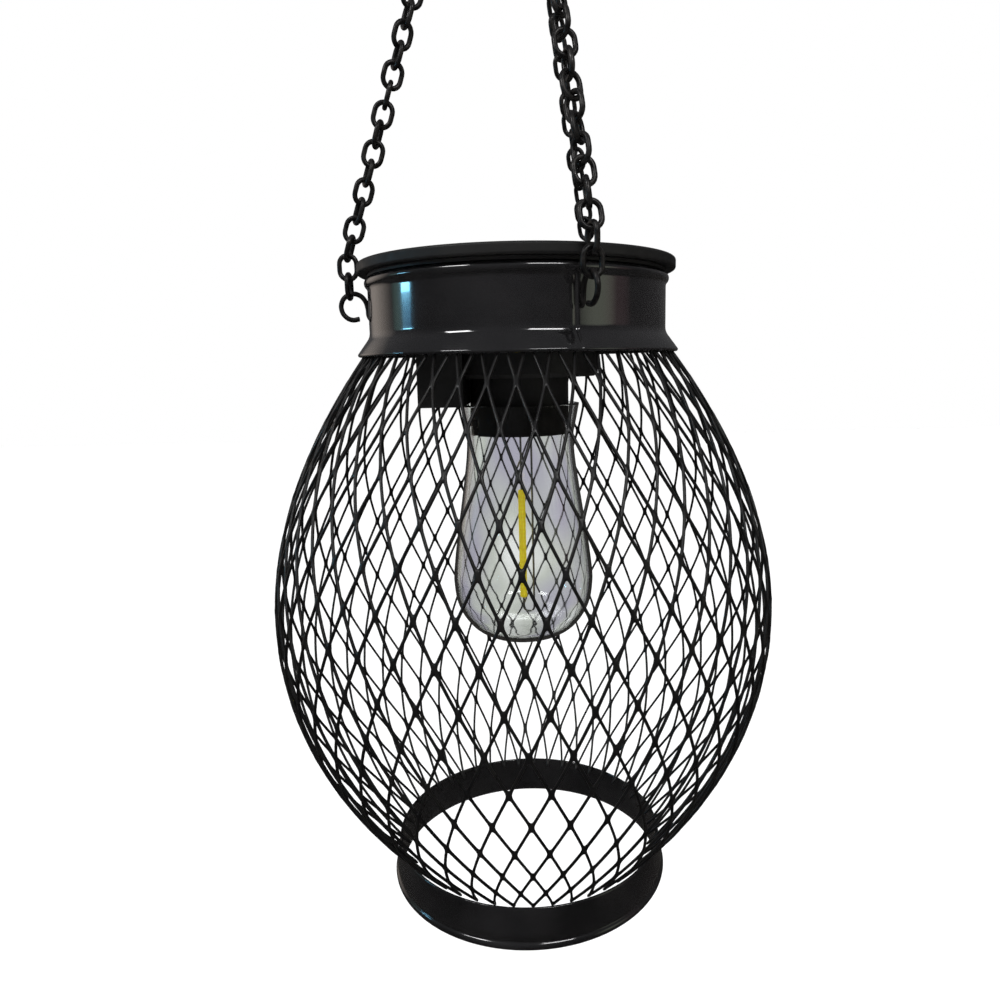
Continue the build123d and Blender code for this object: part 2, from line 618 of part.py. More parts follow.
def bulb_shell():
    """Clear blown shell, open at the top, that slides over the socket."""
    outer = bulb_profile(0)
    inner = bulb_profile(BULB_WALL)
    rim = Line(outer[0] @ 0, inner[0] @ 0)
    tip = Line(outer[-1] @ 1, inner[-1] @ 1)
    face = make_face(outer + inner + [rim, tip])
    return revolve(face, Axis.Z)


def bulb_plug():
    """Insulating disc in the neck that carries the filament and its pins."""
    plug = disc(PLUG_RADIUS, PLUG_Z, PLUG_Z + PLUG_THICKNESS)
    return plug + disc(HUB_RADIUS, PLUG_Z - HUB_HEIGHT, PLUG_Z)


def bulb_keys():
    """Two keys that lock the bulb in the socket's slots."""
    solids = []
    plug = disc(PLUG_RADIUS, PLUG_Z - 1, PLUG_Z + KEY_HEIGHT + 1)
    for angle in (0, 180):
        key = block((PLUG_RADIUS - 0.3, KEY_REACH), (-KEY_HALF, KEY_HALF), (PLUG_Z, PLUG_Z + KEY_HEIGHT))
        solids.append(Rot(0, 0, angle) * (key - plug))
    return group(solids)


def bulb_contacts():
    """Two solder pads on top of the plug."""
    top = PLUG_Z + PLUG_THICKNESS
    return group([Pos(x, 0, top + PAD / 2) * Cylinder(PAD_RADIUS, PAD) for x in (-CONTACT_X, CONTACT_X)])


def led_filament():
    """Yellow strip of light-emitting diodes."""
    half = FILAMENT_WIDTH / 2
    strip = block((-half, half), (-half, half), (FILAMENT_LOW, FILAMENT_HIGH))
    return fillet(strip.edges().filter_by(Axis.Z), half / 2)


def filament_leads():
    """Upper lead straight down to the strip, and the return lead beside it, hooked under it."""
    top = PLUG_Z - HUB_HEIGHT
    low = FILAMENT_LOW - RETURN_DROP
    straight = Pos(0, 0, (top + FILAMENT_HIGH) / 2) * Cylinder(FILAMENT_LEAD / 2, top - FILAMENT_HIGH)
    route = FilletPolyline((RETURN_X, 0, top), (RETURN_X, 0, low), (0, 0, low), (0, 0, FILAMENT_LOW),
                           radius=RETURN_BEND)
    return group([straight, swept_wire(route, FILAMENT_LEAD)])


# ---------------------------------------------------------------- build and export
def build():
    """Make every node."""
    add("hanging_hook", hanging_hook())
    add("gather_ring", gather_ring())
    offsets = {"left": 0.0, "front": -RING_SPREAD, "back": RING_SPREAD}
    for side, azimuth in CHAIN_AZIMUTHS.items():
        add("chain_" + side, chain(azimuth, offsets[side]))
        add("collar_hook_" + side, collar_hook(azimuth))
    add("collar", collar())
    add("lid_catches", lid_catches())
    add("mesh_cage", mesh_cage())
    add("foot_ring", foot_ring())
    makers = [solar_lid, solar_window, solar_cell, gasket_ring, lid_base, battery_door, battery_cell,
              battery_spring, battery_plate, circuit_board, board_components, switch_body, switch_knob,
              housing_screws, solar_leads, lamp_socket, socket_contacts, lamp_leads, bulb_shell,
              bulb_plug, bulb_keys, bulb_contacts, led_filament, filament_leads]
    for maker in makers:
        add(maker.__name__, maker())


build()
os.makedirs("parts", exist_ok=True)
for node, shape in parts.items():
    export_step(shape, os.path.join("parts", node + ".step"))
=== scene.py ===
"""Looks of the hanging solar lantern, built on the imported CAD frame. Lengths are in metres."""
import json
import math

import bmesh
import bpy
from mathutils import Matrix, Vector


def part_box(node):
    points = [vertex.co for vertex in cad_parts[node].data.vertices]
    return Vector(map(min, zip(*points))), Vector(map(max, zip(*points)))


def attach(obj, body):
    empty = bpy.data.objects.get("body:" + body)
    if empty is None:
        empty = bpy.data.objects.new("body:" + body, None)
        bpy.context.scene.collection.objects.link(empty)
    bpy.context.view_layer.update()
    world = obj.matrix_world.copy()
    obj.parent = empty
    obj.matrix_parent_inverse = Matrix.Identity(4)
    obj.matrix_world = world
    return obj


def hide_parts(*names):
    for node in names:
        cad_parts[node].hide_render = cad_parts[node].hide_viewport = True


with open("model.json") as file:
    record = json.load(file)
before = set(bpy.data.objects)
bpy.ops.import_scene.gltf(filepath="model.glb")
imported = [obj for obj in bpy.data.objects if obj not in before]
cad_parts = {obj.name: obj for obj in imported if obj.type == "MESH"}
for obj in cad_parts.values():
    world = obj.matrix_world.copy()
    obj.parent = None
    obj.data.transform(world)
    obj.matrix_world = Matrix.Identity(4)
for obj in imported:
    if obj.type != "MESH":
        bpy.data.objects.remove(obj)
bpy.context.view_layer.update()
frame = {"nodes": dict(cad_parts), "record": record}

MM = 0.001
nodes = frame["nodes"]
scene = bpy.context.scene

# The foot ring's lower edge is the datum for all heights below.
FOOT_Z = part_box("foot_ring")[0].z

# ------------------------------------------------------------------ small helpers


def height(above_foot):
    """Height in the shared frame of a level given in mm above the foot."""
    return FOOT_Z + above_foot * MM


def outward(azimuth):
    """Unit vector from the axis, azimuth in degrees from the front to the right."""
    a = math.radians(azimuth)
    return Vector((math.sin(a), -math.cos(a), 0))


def around(radius, azimuth, z):
    """Point at a radius and azimuth from the axis."""
    return outward(azimuth) * radius + Vector((0, 0, z))


def new_piece(name, mesh_or_curve, body, slot):
    """Link an object, ride it on a body, give it the record's slot and that slot's material."""
    obj = bpy.data.objects.new(name, mesh_or_curve)
    scene.collection.objects.link(obj)
    obj.data.materials.append(MATERIALS[slot])
    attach(obj, body)
    return obj


def smooth(mesh):
    """Shade every face of a mesh smooth."""
    for polygon in mesh.polygons:
        polygon.use_smooth = True


def mesh_from(name, vertices, faces):
    """Mesh with outward normals from lists of points and faces."""
    mesh = bpy.data.meshes.new(name)
    mesh.from_pydata([tuple(v) for v in vertices], [], faces)
    work = bmesh.new()
    work.from_mesh(mesh)
    bmesh.ops.remove_doubles(work, verts=work.verts, dist=1e-6)
    bmesh.ops.recalc_face_normals(work, faces=work.faces)
    work.to_mesh(mesh)
    work.free()
    smooth(mesh)
    return mesh


def turned(name, outline, segments, bump=None):
    """Closed outline of (radius, z) in metres turned about the axis.

    bump(azimuth, radius, z) adds to a radius.
    """
    count = len(outline)
    vertices = []
    faces = []
    for step in range(segments):
        azimuth = 360 * step / segments
        for radius, z in outline:
            extra = bump(azimuth, radius, z) if bump else 0
            vertices.append(around(radius + extra, azimuth, z))
    for step in range(segments):
        here = step * count
        there = (step + 1) % segments * count
        for index in range(count):
            after = (index + 1) % count
            faces.append((here + index, there + index, there + after, here + after))
    return mesh_from(name, vertices, faces)


def arc(centre, radius, start, end, steps):
    """Points of an arc in the (radius, z) plane, angles in degrees."""
    points = []
    for step in range(steps + 1):
        a = math.radians(start + (end - start) * step / steps)
        points.append((centre[0] + radius * math.cos(a), centre[1] + radius * math.sin(a)))
    return points


def wire(name, points, diameter, body, slot):
    """Round wire along a smooth curve."""
    curve = bpy.data.curves.new(name, "CURVE")
    curve.dimensions = "3D"
    curve.bevel_depth = diameter / 2
    curve.bevel_resolution = 6
    curve.use_fill_caps = True
    curve.resolution_u = 12
    spline = curve.splines.new("BEZIER")
    spline.bezier_points.add(len(points) - 1)
    for point, place in zip(spline.bezier_points, points):
        point.co = place
        point.handle_left_type = "AUTO"
        point.handle_right_type = "AUTO"
    return new_piece(name, curve, body, slot)


# ------------------------------------------------------------------ materials


class Shader:
    """A material with one Principled shader and a few procedural inputs."""

    def __init__(self, name, colour, roughness, **sockets):
        self.material = bpy.data.materials.new(name)
        self.material.use_nodes = True
        self.tree = self.material.node_tree
        self.shader = self.tree.nodes["Principled BSDF"]
        self.shader.inputs["Base Color"].default_value = (*colour, 1)
        self.shader.inputs["Roughness"].default_value = roughness
        for socket, value in sockets.items():
            self.shader.inputs[socket.replace("_", " ")].default_value = value
        self.place = self.node("ShaderNodeTexCoord").outputs["Object"]
        self.normal = None

    def node(self, kind, **values):
        """Add a node; keyword values are properties of the node."""
        made = self.tree.nodes.new(kind)
        for key, value in values.items():
            setattr(made, key, value)
        return made

    def link(self, output, socket):
        """Join an output to an input."""
        self.tree.links.new(output, socket)

    def noise(self, scale, detail=4.0, roughness=0.55, stretch=(1, 1, 1)):
        """Noise over the object; scale is features per metre."""
        mapping = self.node("ShaderNodeMapping")
        mapping.inputs["Scale"].default_value = stretch
        self.link(self.place, mapping.inputs["Vector"])
        texture = self.node("ShaderNodeTexNoise")
        texture.inputs["Scale"].default_value = scale
        texture.inputs["Detail"].default_value = detail
        texture.inputs["Roughness"].default_value = roughness
        self.link(mapping.outputs["Vector"], texture.inputs["Vector"])
        return texture.outputs["Fac"]

    def cells(self, scale):
        """Distance to the nearest of many scattered points."""
        texture = self.node("ShaderNodeTexVoronoi")
        texture.inputs["Scale"].default_value = scale
        self.link(self.place, texture.inputs["Vector"])
        return texture.outputs["Distance"]

    def ramp(self, value, stops):
        """Colour ramp of (position, grey or colour) stops."""
        made = self.node("ShaderNodeValToRGB")
        elements = made.color_ramp.elements
        while len(elements) < len(stops):
            elements.new(0.5)
        for element, (position, colour) in zip(elements, stops):
            element.position = position
            grey = isinstance(colour, (int, float))
            element.color = (colour, colour, colour, 1) if grey else (*colour, 1)
        self.link(value, made.inputs["Fac"])
        return made.outputs["Color"]

    def bump(self, value, strength, distance):
        """Add a layer of bump, distance in metres."""
        made = self.node("ShaderNodeBump")
        made.inputs["Strength"].default_value = strength
        made.inputs["Distance"].default_value = distance
        self.link(value, made.inputs["Height"])
        if self.normal:
            self.link(self.normal, made.inputs["Normal"])
        self.normal = made.outputs["Normal"]
        self.link(self.normal, self.shader.inputs["Normal"])

    def colour(self, value, low, high, start=0.35, end=0.65):
        """Base colour running from low to high with a value."""
        self.link(self.ramp(value, [(start, low), (end, high)]), self.shader.inputs["Base Color"])

    def roughness(self, value, low, high, start=0.3, end=0.7):
        """Roughness running from low to high with a value."""
        self.link(self.ramp(value, [(start, low), (end, high)]), self.shader.inputs["Roughness"])


def gloss_paint():
    """Gloss black stove paint on sheet steel: long faint waves and handling marks."""
    paint = Shader("gloss_black_paint", (0.008, 0.008, 0.009), 0.1, Coat_Weight=0.6, Coat_Roughness=0.03)
    paint.colour(paint.noise(60), (0.006, 0.006, 0.0065), (0.012, 0.0115, 0.012))
    paint.roughness(paint.noise(60, 2), 0.08, 0.16)
    paint.bump(paint.noise(60, 2), 0.05, 0.0002)
    return paint.material


def mesh_paint():
    """Semi-gloss black dip paint on the expanded metal, slightly thicker at the knots."""
    paint = Shader("satin_black_paint", (0.006, 0.006, 0.006), 0.32, Specular_IOR_Level=0.3)
    paint.colour(paint.noise(90), (0.004, 0.004, 0.0045), (0.009, 0.0085, 0.008))
    paint.roughness(paint.noise(260, 5), 0.24, 0.46)
    paint.bump(paint.noise(900, 3), 0.2, 0.0001)
    return paint.material


def blackened_wire(name, rubbed):
    """Blackened steel wire, rubbed to a lighter colour in patches."""
    finish = Shader(name, (0.02, 0.019, 0.019), 0.36, Metallic=0.55)
    finish.colour(finish.noise(500, 5), (0.007, 0.0065, 0.0065), rubbed, 0.4, 0.75)
    finish.roughness(finish.noise(1100, 3), 0.24, 0.52)
    finish.bump(finish.noise(2200, 3), 0.25, 0.00008)
    return finish.material


def moulded_plastic(name="black_plastic", grey=0.009):
    """Matte black moulding with a fine spark-eroded grain."""
    plastic = Shader(name, (grey, grey, grey), 0.5, Specular_IOR_Level=0.36)
    plastic.colour(plastic.noise(70), (grey * 0.8,) * 3, (grey * 1.3, grey * 1.25, grey * 1.2))
    plastic.roughness(plastic.noise(300, 5), 0.46, 0.64)
    plastic.bump(plastic.noise(3200, 2), 0.35, 0.00006)
    plastic.bump(plastic.noise(120, 2), 0.08, 0.0002)
    return plastic.material


def clear_plastic():
    """Clear blown plastic with faint flow lines."""
    clear = Shader("clear_plastic", (0.96, 0.975, 0.97), 0.02, IOR=1.49, Transmission_Weight=1.0)
    clear.bump(clear.noise(60, 2, stretch=(1, 1, 0.35)), 0.12, 0.0006)
    clear.roughness(clear.noise(200, 4), 0.01, 0.05)
    return clear.material


def window_glass():
    """Clear cover over the solar cell, a little dusty."""
    glass = Shader("clear_window", (0.94, 0.96, 0.97), 0.03, IOR=1.5, Transmission_Weight=1.0)
    glass.roughness(glass.noise(80, 6), 0.02, 0.12)
    glass.bump(glass.noise(40, 2), 0.05, 0.0003)
    return glass.material


def silicon():
    """Dark blue polycrystalline silicon: grains, fine fingers and two broad bus bars."""
    cell = Shader("silicon_cell", (0.01, 0.015, 0.06), 0.3, Specular_IOR_Level=0.5)
    grain = cell.node("ShaderNodeTexVoronoi")
    grain.inputs["Scale"].default_value = 160
    cell.link(cell.place, grain.inputs["Vector"])
    tint = cell.ramp(grain.outputs["Color"], [(0.1, (0.006, 0.01, 0.045)), (0.9, (0.02, 0.035, 0.12))])
    x = cell.node("ShaderNodeSeparateXYZ")
    cell.link(cell.place, x.inputs[0])
    lines = stripes(cell, x.outputs["X"], 0.002, 0.11)
    bars = stripes(cell, x.outputs["Y"], 0.0155, 0.09)
    gaps = stripes(cell, x.outputs["Y"], 0.031, 0.03)
    mask = cell.node("ShaderNodeMath", operation="MAXIMUM")
    cell.link(lines, mask.inputs[0])
    cell.link(bars, mask.inputs[1])
    metal = cell.node("ShaderNodeMix", data_type="RGBA")
    cell.link(mask.outputs[0], metal.inputs["Factor"])
    cell.link(tint, metal.inputs[6])
    metal.inputs[7].default_value = (0.45, 0.46, 0.48, 1)
    split = cell.node("ShaderNodeMix", data_type="RGBA")
    cell.link(gaps, split.inputs["Factor"])
    cell.link(metal.outputs[2], split.inputs[6])
    split.inputs[7].default_value = (0.5, 0.52, 0.5, 1)
    cell.link(split.outputs[2], cell.shader.inputs["Base Color"])
    cell.bump(mask.outputs[0], 0.4, 0.00005)
    return cell.material


def stripes(shader, value, pitch, width):
    """1 on stripes across a coordinate, pitch in metres, width as a share of the pitch."""
    scaled = shader.node("ShaderNodeMath", operation="DIVIDE")
    shader.link(value, scaled.inputs[0])
    scaled.inputs[1].default_value = pitch
    fraction = shader.node("ShaderNodeMath", operation="FRACT")
    shader.link(scaled.outputs[0], fraction.inputs[0])
    inside = shader.node("ShaderNodeMath", operation="LESS_THAN")
    shader.link(fraction.outputs[0], inside.inputs[0])
    inside.inputs[1].default_value = width
    return inside.outputs[0]


def phosphor():
    """Yellow phosphor silicone over a row of small chips, with a faint painted glow although the lamp is
    not lit.
    """
    # the emission colour and strength are a painted glow on the unlit filament, to keep its yellow from
    # going dark
    yellow = Shader("phosphor", (0.8, 0.64, 0.03), 0.45, Specular_IOR_Level=0.3,
                    Emission_Color=(0.8, 0.62, 0.02, 1), Emission_Strength=0.45)
    z = yellow.node("ShaderNodeSeparateXYZ")
    yellow.link(yellow.place, z.inputs[0])
    chips = stripes(yellow, z.outputs["Z"], 0.0014, 0.55)
    tint = yellow.ramp(chips, [(0.0, (0.84, 0.68, 0.03)), (1.0, (0.9, 0.74, 0.04))])
    yellow.link(tint, yellow.shader.inputs["Base Color"])
    yellow.bump(chips, 0.3, 0.0001)
    yellow.bump(yellow.noise(1500, 3), 0.3, 0.00015)
    return yellow.material


def bare_metal(name, colour, roughness):
    """Drawn or rolled metal with fine scratches."""
    metal = Shader(name, colour, roughness, Metallic=1.0)
    darker = tuple(channel * 0.75 for channel in colour)
    metal.colour(metal.noise(300, 5), darker, colour)
    metal.roughness(metal.noise(700, 4, stretch=(1, 1, 6)), roughness * 0.7, roughness * 1.5)
    metal.bump(metal.noise(1800, 2, stretch=(1, 1, 8)), 0.15, 0.00004)
    return metal.material


def board_laminate():
    """Green solder mask with faint copper tracks below it."""
    board = Shader("board_laminate", (0.02, 0.16, 0.06), 0.35, Coat_Weight=0.3)
    tracks = board.ramp(board.cells(320), [(0.3, (0.015, 0.12, 0.045)), (0.36, (0.03, 0.2, 0.08))])
    board.link(tracks, board.shader.inputs["Base Color"])
    board.bump(board.cells(320), 0.15, 0.00005)
    return board.material


def soft_cover(name, colour, roughness=0.5):
    """Rubber, wire insulation or a printed sleeve."""
    cover = Shader(name, colour, roughness)
    darker = tuple(channel * 0.7 for channel in colour)
    cover.colour(cover.noise(200, 4), darker, colour)
    cover.roughness(cover.noise(500, 4), roughness * 0.8, min(1.0, roughness * 1.3))
    cover.bump(cover.noise(1500, 3), 0.2, 0.00006)
    return cover.material


MATERIALS = {
    "gloss_black_paint": gloss_paint(),
    "satin_black_paint": mesh_paint(),
    "black_chain": blackened_wire("black_chain", (0.04, 0.037, 0.035)),
    "zinc_wire": blackened_wire("zinc_wire", (0.06, 0.056, 0.053)),
    "black_plastic": moulded_plastic(),
    "clear_window": window_glass(),
    "silicon_cell": silicon(),
    "seal_rubber": soft_cover("seal_rubber", (0.03, 0.03, 0.03), 0.7),
    "cell_sleeve": soft_cover("cell_sleeve", (0.05, 0.26, 0.12), 0.3),
    "spring_steel": bare_metal("spring_steel", (0.62, 0.62, 0.6), 0.3),
    "board_laminate": board_laminate(),
    "component_black": moulded_plastic("component_black", 0.03),
    "switch_plastic": moulded_plastic("switch_plastic", 0.035),
    "wire_red": soft_cover("wire_red", (0.5, 0.03, 0.02), 0.4),
    "contact_brass": bare_metal("contact_brass", (0.8, 0.58, 0.26), 0.25),
    "clear_plastic": clear_plastic(),
    "phosphor": phosphor(),
    "lead_wire": bare_metal("lead_wire", (0.5, 0.5, 0.48), 0.3),
}


def dress_cad_nodes():
    """Give every CAD node the material of its slot."""
    for entry in frame["record"]["subparts"]:
        node = nodes[entry["node"]]
        for index in range(len(node.material_slots)):
            node.material_slots[index].material = MATERIALS[entry["material_slot"]]


# ------------------------------------------------------------------ mesh cage

CELLS_AROUND = 45
MESH_ROWS = 15
ROW_PITCH = 11.636       # mm between rows of knots
MESH_FOOT = 12.8         # mm from the foot to the lowest row
MESH_TURN = 0.65         # degrees from the front to the first column of knots
MESH_THICKNESS = 1.0
STRAND_WIDTH = 0.92
KNOT_HALF_WIDTH = 0.72
KNOT_HALF_HEIGHT = 1.5
STRAND_TILT = 0.15       # mm by which a strand's lower edge stands out and its upper edge in
MESH_TWIST = -1.05       # degrees that the mesh leans round per 100 mm of height, about its middle
MESH_TWIST_LEVEL = 100.0
CAGE_FOOT_RADIUS = 44.5
CAGE_TOP_RADIUS = 47.7
BELLY = 37.0
SAG = 2.8


def cage_radius(z):
    """Outside radius of the barrel in mm at a height in mm above the foot."""
    t = 2 * (z - MESH_FOOT) / (MESH_ROWS * ROW_PITCH) - 1
    base = CAGE_FOOT_RADIUS + (CAGE_TOP_RADIUS - CAGE_FOOT_RADIUS) * (t + 1) / 2
    return base + (BELLY - SAG * t) * (1 - t * t)


def on_cage(azimuth, z, along=0.0, up=0.0, out=0.0):
    """Point on the mesh's middle surface, moved along it, up and outward by mm."""
    level = z + up
    radius = cage_radius(level) - MESH_THICKNESS / 2 - STRAND_TILT
    twist = MESH_TWIST * (level - MESH_TWIST_LEVEL) / 100
    turn = azimuth + twist + math.degrees(along / radius)
    return around((radius + out) * MM, turn, height(level))


def mesh_cage():
    """Expanded metal: knots joined by slanting strands, thickened and softened."""
    step = 360 / CELLS_AROUND
    vertices, faces = [], []

    def corner(point):
        vertices.append(point)
        return len(vertices) - 1

    knots = {}
    for row in range(MESH_ROWS + 1):
        z = MESH_FOOT + row * ROW_PITCH
        for column in range(CELLS_AROUND):
            azimuth = MESH_TURN + step * (column + (0.5 if row % 2 else 0.0))
            right = corner(on_cage(azimuth, z, KNOT_HALF_WIDTH))
            top = corner(on_cage(azimuth, z, 0, KNOT_HALF_HEIGHT, -STRAND_TILT))
            left = corner(on_cage(azimuth, z, -KNOT_HALF_WIDTH))
            bottom = corner(on_cage(azimuth, z, 0, -KNOT_HALF_HEIGHT, STRAND_TILT))
            faces.append((right, top, left, bottom))
            knots[row, column] = (azimuth, z, right, top, left, bottom)

    for row in range(MESH_ROWS):
        for column in range(CELLS_AROUND):
            start = knots[row, column]
            for side in (1, -1):
                # odd rows stand half a cell on, so their neighbours are numbered differently
                move = (side + 1) // 2 if row % 2 else (side - 1) // 2
                finish = knots[row + 1, (column + move) % CELLS_AROUND]
                faces.extend(strand(start, finish, side, step, corner))
    mesh = mesh_from("mesh_cage_metal", vertices, faces)
    cage = new_piece("expanded_metal_cage", mesh, "lantern", "satin_black_paint")
    thick = cage.modifiers.new("sheet", "SOLIDIFY")
    thick.thickness = MESH_THICKNESS * MM
    thick.offset = 0
    soft = cage.modifiers.new("soft_edges", "SUBSURF")
    soft.levels = 1
    soft.render_levels = 1
    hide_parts("mesh_cage")
    return cage


def strand(start, finish, side, step, corner):
    """Faces of one strand from a knot up to the next knot on one side (1 right, -1 left)."""
    azimuth, z, right, top, left, _ = start
    _, _, far_right, _, far_left, far_bottom = finish
    lower = right if side > 0 else left
    far_upper = far_left if side > 0 else far_right
    run = math.radians(step / 2) * cage_radius(z + ROW_PITCH / 2)
    length = math.hypot(run, ROW_PITCH)
    across, rise = ROW_PITCH / length * STRAND_WIDTH / 2, run / length * STRAND_WIDTH / 2
    faces = []
    previous = (lower, top)
    for share in (0.15, 0.25, 0.42, 0.58, 0.75, 0.85):
        turn = azimuth + side * step / 2 * share
        level = z + ROW_PITCH * share
        below = corner(on_cage(turn, level, side * across, -rise, STRAND_TILT))
        above = corner(on_cage(turn, level, -side * across, rise, -STRAND_TILT))
        faces.append((previous[0], below, above, previous[1]))
        previous = (below, above)
    faces.append((previous[0], far_bottom, far_upper, previous[1]))
    return faces


# ------------------------------------------------------------------ collar, foot ring and hooks

COLLAR_RADIUS = 47.94
SHEET = 0.9
SEAM_AZIMUTH = 20.0      # degrees from the front to the lap seam
SEAM_STEP = 0.22         # mm by which the overlapping edge stands out
SEAM_GROOVE = 0.3        # mm, depth of the joint line beside it
CHAIN_AZIMUTHS = {"left": -91.0, "front": 22.0, "back": 149.0}


def seam(azimuth, radius, z):
    """Lap seam of the wall: a narrow groove, then a step that fades back over a few centimetres."""
    past = (azimuth - SEAM_AZIMUTH + 180) % 360 - 180
    if radius < (COLLAR_RADIUS - SHEET / 2) * MM or abs(past) > 60 or z > height(204.2):
        return 0.0
    groove = SEAM_GROOVE * math.exp(-(past / 0.45) ** 2)
    step = SEAM_STEP * math.exp(-past / 12) if past > 0 else 0.0
    fade = min(1.0, (z - height(183.0)) / (5 * MM))
    return (min(step, 0.2) - groove) * fade * MM


def to_metres(points):
    """(radius, height above the foot) in mm to (radius, z) in metres."""
    return [(radius * MM, height(z)) for radius, z in points]


def collar():
    """Sheet-metal collar: rolled rim, wall, rounded crease, flare and hem."""
    # close pairs of points at both ends keep the straight wall's shading straight
    outer = [(COLLAR_RADIUS, z) for z in (203.9, 203.5, 198, 192.4, 192.0)]
    crease = arc((COLLAR_RADIUS + 4.4, 191.0), 4.4, 180, 213, 6)
    hem = arc((51.3, 183.95), 0.65, 30, -200, 14)
    inner = [(50.1, 184.6), (47.5, 188.6), (COLLAR_RADIUS - SHEET, 190.2), (COLLAR_RADIUS - SHEET, 204.0)]
    bead = arc((47.2, 206.0), 1.7, 235, -52, 30)
    mesh = turned("collar_sheet", to_metres(outer + crease + hem + inner + bead), 720, seam)
    piece = new_piece("painted_collar", mesh, "lantern", "gloss_black_paint")
    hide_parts("collar")
    return piece


def foot_ring():
    """Foot ring: slightly conical wall over a lower edge rolled outward, smooth inside."""
    outer = [(47.3, 11), (48.0, 6.5), (48.25, 4.3), (48.05, 3.6)]
    bead = arc((47.35, 1.9), 1.5, 60, -90, 14)
    base = [(47.35, 0.1), (46.5, 0.15), (46.2, 0.5)]
    inner = [(46.25, 4.0), (46.1, 9.0), (45.95, 13.0)]
    lip = arc((46.4, 13.75), 0.45, 180, 0, 6)
    outline = outer + bead + base + inner + lip
    mesh = turned("foot_sheet", to_metres(outline), 288)
    piece = new_piece("painted_foot_ring", mesh, "lantern", "gloss_black_paint")
    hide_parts("foot_ring")
    return piece


EYE_RADIUS = 4.2
EYE_Z = 200.0
EYE_INSET = 1.2          # mm by which the eye stands nearer the wall than the chain
CHAIN_RADIUS = 54.9
CHAIN_WIRE = 1.6
HOOK_HOLE_Z = 195.6


def collar_hook(side, azimuth):
    """Open wire eye whose leg runs down the wall and into its hole."""
    wall = COLLAR_RADIUS + CHAIN_WIRE / 2 + 0.1
    middle, level = CHAIN_RADIUS - EYE_INSET, EYE_Z - EYE_INSET / 6
    flat = [
        (COLLAR_RADIUS - 2.4, HOOK_HOLE_Z), (wall - 0.7, HOOK_HOLE_Z + 0.1),
        (wall + 0.05, HOOK_HOLE_Z + 1.0), (wall + 0.35, level - 0.6),
    ]
    flat += [(middle + x, level + z) for x, z in arc((0, 0), EYE_RADIUS, 150, -112, 8)]
    points = [around(radius * MM, azimuth, height(z)) for radius, z in flat]
    piece = wire("eye_hook_" + side, points, CHAIN_WIRE * MM, "lantern", "black_chain")
    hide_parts("collar_hook_" + side)


# ------------------------------------------------------------------ chains

LINK_WIDTH = 7.2
LINK_INNER = 6.06
LINK_PLAY = 0.05
SLANTED_LINKS = 30
RING_RADIUS = 9.0
RING_STRAIGHT = 7.6
RING_WIRE = 2.4
RING_BOTTOM = 386.8
RING_SPREAD = {"left": 0.0, "front": -3.3, "back": 3.3}
# How far each slanted link hangs turned from a neat quarter turn, from the lid's edge upward, in degrees.
LINK_TURNS = {
    "left": (0, 0, -31, -40, -27, -5, 0, 0, -15, -28, -30, -42, -31, -20),
    "front": (18, 25, 10, -12, -30, -8, 4, 22, 30, 12, -6, -20, 0, 10),
    "back": (-10, -24, 5, 30, 20, -4, -18, -30, -12, 8, 25, 12, 0, -8),
}


def oval_path(bend, half, steps=12):
    """Places and outward directions along an oval, long axis on Z and flat in XZ, in mm."""
    path = []
    for end in (0, 1):
        for step in range(steps + 1):
            a = math.pi * (end + step / steps)
            lift = -half if end else half
            path.append((Vector((bend * math.cos(a), 0, bend * math.sin(a) + lift)),
                         Vector((math.cos(a), 0, math.sin(a)))))
    return path


def oval_shape(inner_length, width, diameter, sides=12):
    """Vertices in metres and faces of a closed oval of round wire."""
    bend = (width - diameter) / 2
    path = oval_path(bend, (inner_length + diameter) / 2 - bend)
    vertices, faces = [], []
    for place, out in path:
        for step in range(sides):
            a = 2 * math.pi * step / sides
            ring = out * math.cos(a) + Vector((0, 1, 0)) * math.sin(a)
            vertices.append((place + ring * diameter / 2) * MM)
    count = len(path)
    for index in range(count):
        after = (index + 1) % count
        for step in range(sides):
            beside = (step + 1) % sides
            faces.append((index * sides + step, after * sides + step,
                          after * sides + beside, index * sides + beside))
    return vertices, faces


def joined(name, shape, frames):
    """One mesh of copies of a shape, each in a frame of (centre, normal, long axis)."""
    vertices, faces = [], []
    for centre, normal, axis in frames:
        base = len(vertices)
        turn = Matrix((normal.cross(axis), normal, axis)).transposed()
        vertices.extend(centre + turn @ point for point in shape[0])
        faces.extend(tuple(base + index for index in face) for face in shape[1])
    mesh = bpy.data.meshes.new(name)
    mesh.from_pydata([tuple(v) for v in vertices], [], faces)
    smooth(mesh)
    return mesh


